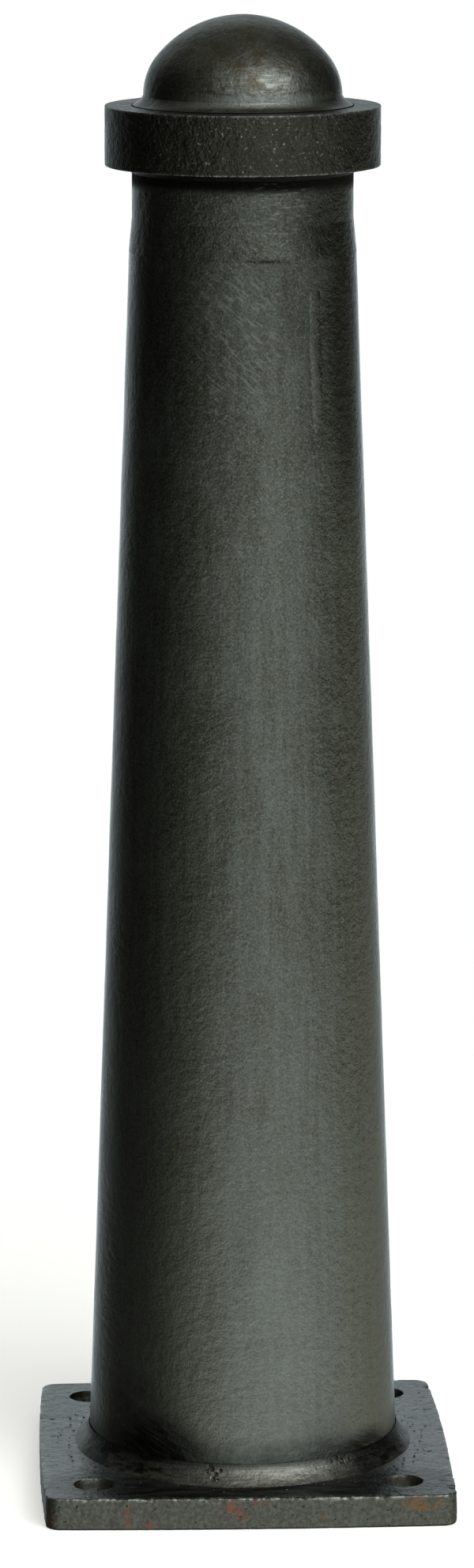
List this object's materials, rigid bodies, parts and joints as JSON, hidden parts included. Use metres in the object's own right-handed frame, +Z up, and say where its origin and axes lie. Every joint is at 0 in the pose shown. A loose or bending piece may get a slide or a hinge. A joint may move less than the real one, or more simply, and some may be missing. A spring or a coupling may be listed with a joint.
{
  "type": "steel safety bollard",
  "caption": "Fixed steel bollard: square base plate, tapering round post, collar ring and domed top, welded together.",
  "frame": {"origin": "centre of the base plate's underside", "axes": "+Z up along the post; the plate's sides lie along X and Y; -Y is the front"},
  "size_m": [0.256, 0.256, 0.9113],
  "materials": {
    "plate": "flame-cut plate with mill scale, blackened, satin",
    "post": "rolled plate, hammered and ground, blackened, satin",
    "neck": "tube, ground round, blackened, satin",
    "collar": "rough forged ring with worn edges, blackened",
    "dome": "pressed cap, brushed and blackened, satin",
    "weld": "ground weld metal, satin"
  },
  "bodies": {
    "root": {"base_plate": "plate", "foot_weld": "weld", "post_shell": "post", "seam_weld": "weld", "neck_weld": "weld", "neck_tube": "neck", "collar_ring": "collar", "collar_top_weld": "weld", "collar_under_weld": "weld", "dome_cap": "dome", "dome_weld": "weld"}
  },
  "joints": []
}
